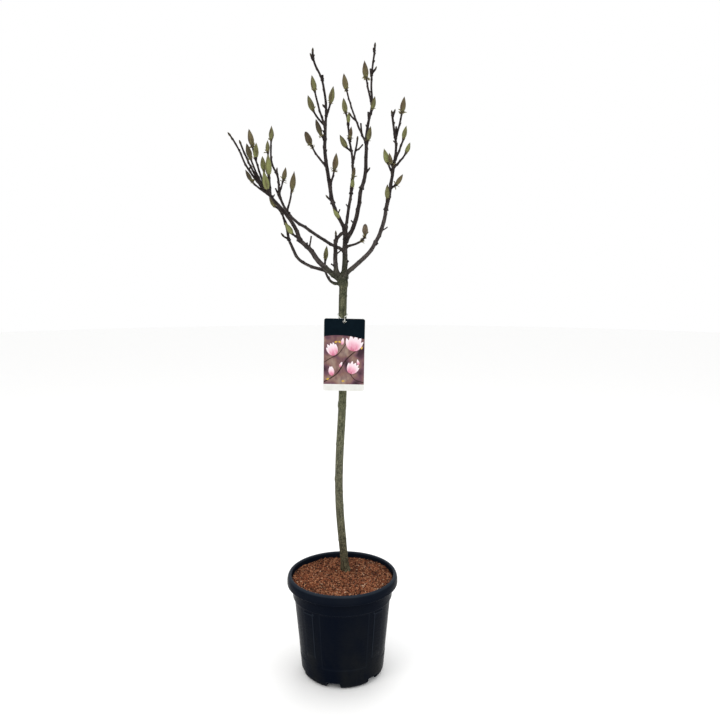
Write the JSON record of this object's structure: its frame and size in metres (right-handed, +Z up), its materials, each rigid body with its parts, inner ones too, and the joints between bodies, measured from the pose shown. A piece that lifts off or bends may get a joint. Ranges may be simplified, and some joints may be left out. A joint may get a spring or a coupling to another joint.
{
  "type": "potted magnolia tree",
  "caption": "Magnolia grafted as a standard: clear stem, bare head of twigs with downy winter buds, in a black nursery container of bark compost, with a hanging picture card.",
  "frame": {"origin": "middle of the container's flat underside", "axes": "+Z up along the stem, +X to the right and +Y to the back as seen from the side with the card"},
  "size_m": [0.4893, 0.3535, 1.8386],
  "materials": {
    "pot_plastic": "satin black with a blue cast",
    "bark_compost": "loose reddish bark chips",
    "stem_bark": "smooth olive grey bark",
    "bough_bark": "dark grey brown bark",
    "twigs_and_buds": "dark twigs with downy olive buds",
    "printed_card": "printed sheet, slightly glossy",
    "card_strap": "pale plastic"
  },
  "bodies": {
    "root": {"pot": "pot_plastic", "compost": "bark_compost", "trunk": "stem_bark", "centre_leader": "bough_bark", "left_bough": "bough_bark", "right_bough": "bough_bark", "second_leader": "bough_bark", "low_left_bough": "bough_bark", "long_left_bough": "bough_bark", "front_bough": "bough_bark", "rear_bough": "bough_bark", "tall_bough": "bough_bark", "left_twigs": "twigs_and_buds", "low_left_twigs": "twigs_and_buds", "long_left_twigs": "twigs_and_buds", "front_twigs": "twigs_and_buds", "rear_twigs": "twigs_and_buds", "tall_twigs": "twigs_and_buds", "right_twigs": "twigs_and_buds", "second_leader_twigs": "twigs_and_buds", "low_spur": "twigs_and_buds", "right_spur": "twigs_and_buds", "front_spur": "twigs_and_buds", "label_card": "printed_card", "label_loop": "card_strap"}
  },
  "joints": []
}
